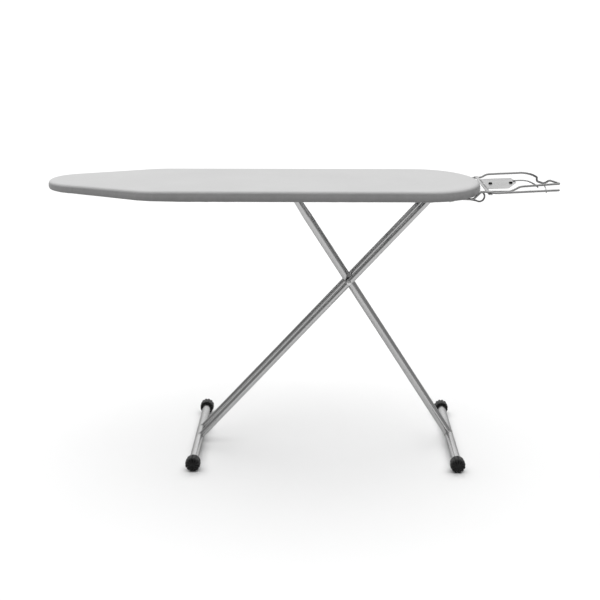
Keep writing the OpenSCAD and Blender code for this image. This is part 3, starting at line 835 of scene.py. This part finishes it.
def build_cap(node, body):
    """A ribbed rubber barrel that closes one end of a foot tube."""
    low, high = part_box(node)
    side = 1 if low.y > 0 else -1
    tip_y = high.y if side > 0 else low.y
    centre = (low + high) / 2
    r = CAP_R
    rows = [
        (0.0, 0.0012, 0), (r * 0.26, 0.0010, 0), (r * 0.30, 0.0002, 0), (r * 0.34, 0.0003, 0.5),
        (r * 0.62, 0.0006, 1), (r * 0.78, 0.0018, 1), (r * 0.90, 0.0036, 1), (r * 0.97, 0.0056, 1),
        (r, 0.0090, 1), (r, 0.0180, 1), (r, 0.0250, 1),
        (r * 0.985, 0.0290, 0.9), (r * 0.95, 0.0318, 0.4), (r * 0.93, 0.0325, 0), (r * 0.90, 0.0345, 0),
        (r * 0.84, CAP_L, 0), (FOOT_R + 0.0012, CAP_L, 0), (FOOT_R + 0.0002, 0.0340, 0),
        (FOOT_R + 0.0002, 0.0090, 0)]
    sides = CAP_RIBS * 8
    verts, faces = [], []
    for radius, depth, ribbed in rows:
        for k in range(sides):
            a = 2 * math.pi * (k + 0.5) / sides
            groove = max(0.0, math.cos(CAP_RIBS * a)) ** 1.5 * RIB_DEPTH * ribbed
            # On the end face the grooves cut inwards along the tube, on the barrel towards its axis.
            facing = max(0.0, min(1.0, (0.0056 - depth) / 0.004))
            reach = radius - groove * (1 - facing)
            inward = tip_y - side * (depth + groove * facing)
            verts.append(Vector((centre.x + reach * math.sin(a), inward, centre.z - reach * math.cos(a))))
    for i in range(len(rows) - 1):
        for k in range(sides):
            m = (k + 1) % sides
            faces.append((i * sides + k, i * sides + m, (i + 1) * sides + m, (i + 1) * sides + k))
    cap = new_object(node.replace("foot_cap", "ribbed_cap"), verts, faces)
    return finish_piece(cap, body, "cap_rubber", node)


# ---------------------------------------------------------------- stage

def build_stage():
    bpy.ops.mesh.primitive_plane_add(size=600)
    floor = bpy.context.object
    floor.name = "floor"
    s = Shader("floor_paper", grey(0.76), 0.9)
    s.put(Specular_IOR_Level=0.1)
    s.colour(s.blend(s.noise(3, 3), grey(0.752), grey(0.762)))
    floor.data.materials.append(s.material)

    # The studio's light is white behind the board, mid grey beside it and dark in front of it,
    # and its paper backdrop is one plain white all round.
    world = bpy.data.worlds.new("studio")
    bpy.context.scene.world = world
    world.use_nodes = True
    tree = world.node_tree
    direction = tree.nodes.new("ShaderNodeTexCoord").outputs["Generated"]
    parts = tree.nodes.new("ShaderNodeSeparateXYZ")
    tree.links.new(direction, parts.inputs[0])
    towards_back = tree.nodes.new("ShaderNodeMapRange")
    towards_back.inputs["From Min"].default_value = -1
    tree.links.new(parts.outputs["Y"], towards_back.inputs["Value"])
    ramp = tree.nodes.new("ShaderNodeValToRGB")
    tree.links.new(towards_back.outputs[0], ramp.inputs[0])
    stops = ramp.color_ramp.elements
    stops[0].position, stops[0].color = 0.35, (*grey(0.09), 1)
    stops[1].position, stops[1].color = 0.93, (*grey(0.97), 1)
    middle = stops.new(0.66)
    middle.color = (*grey(0.28), 1)
    above_skirting = tree.nodes.new("ShaderNodeMapRange")
    for socket, number in (("From Min", 0.20), ("From Max", 0.60)):
        above_skirting.inputs[socket].default_value = number
    tree.links.new(parts.outputs["Z"], above_skirting.inputs["Value"])
    skirting = tree.nodes.new("ShaderNodeMix")
    skirting.data_type = "RGBA"
    skirting.blend_type = "LIGHTEN"
    skirting.inputs["B"].default_value = (*grey(0.40), 1)
    tree.links.new(ramp.outputs[0], skirting.inputs["A"])
    lowness = tree.nodes.new("ShaderNodeMath")
    lowness.operation = "SUBTRACT"
    lowness.inputs[0].default_value = 1
    tree.links.new(above_skirting.outputs[0], lowness.inputs[1])
    tree.links.new(lowness.outputs[0], skirting.inputs["Factor"])
    backdrop = tree.nodes.new("ShaderNodeMix")
    backdrop.data_type = "RGBA"
    backdrop.inputs["B"].default_value = (*grey(1.0), 1)
    tree.links.new(skirting.outputs["Result"], backdrop.inputs["A"])
    tree.links.new(tree.nodes.new("ShaderNodeLightPath").outputs["Is Camera Ray"], backdrop.inputs["Factor"])
    tree.links.new(backdrop.outputs["Result"], tree.nodes["Background"].inputs[0])

    sun = bpy.data.lights.new("overhead", "SUN")
    sun.energy = 3.6
    sun.angle = math.radians(95)
    lamp = bpy.data.objects.new("overhead", sun)
    lamp.rotation_euler = (math.radians(-5), math.radians(-2), 0)
    bpy.context.scene.collection.objects.link(lamp)


def build_camera():
    data = bpy.data.cameras.new("camera")
    data.sensor_width = 36
    data.lens = 68.14
    camera = bpy.data.objects.new("camera", data)
    camera.location = (0.0328, -3.1785, 1.3451)
    camera.rotation_euler = (math.radians(74.08), 0, 0.0128)
    bpy.context.scene.collection.objects.link(camera)
    bpy.context.scene.camera = camera
    bpy.context.scene.view_settings.view_transform = "Standard"


build_camera()
build_stage()
dress_cad_nodes()
cover = build_cover()
elastic = build_elastic()
pad = build_pad()
build_rest()
build_lever()
build_welds()
build_bolt()
for leg in ("outer", "inner"):
    for end in ("front", "rear"):
        build_cap(f"{leg}_foot_cap_{end}", f"{leg}_leg")
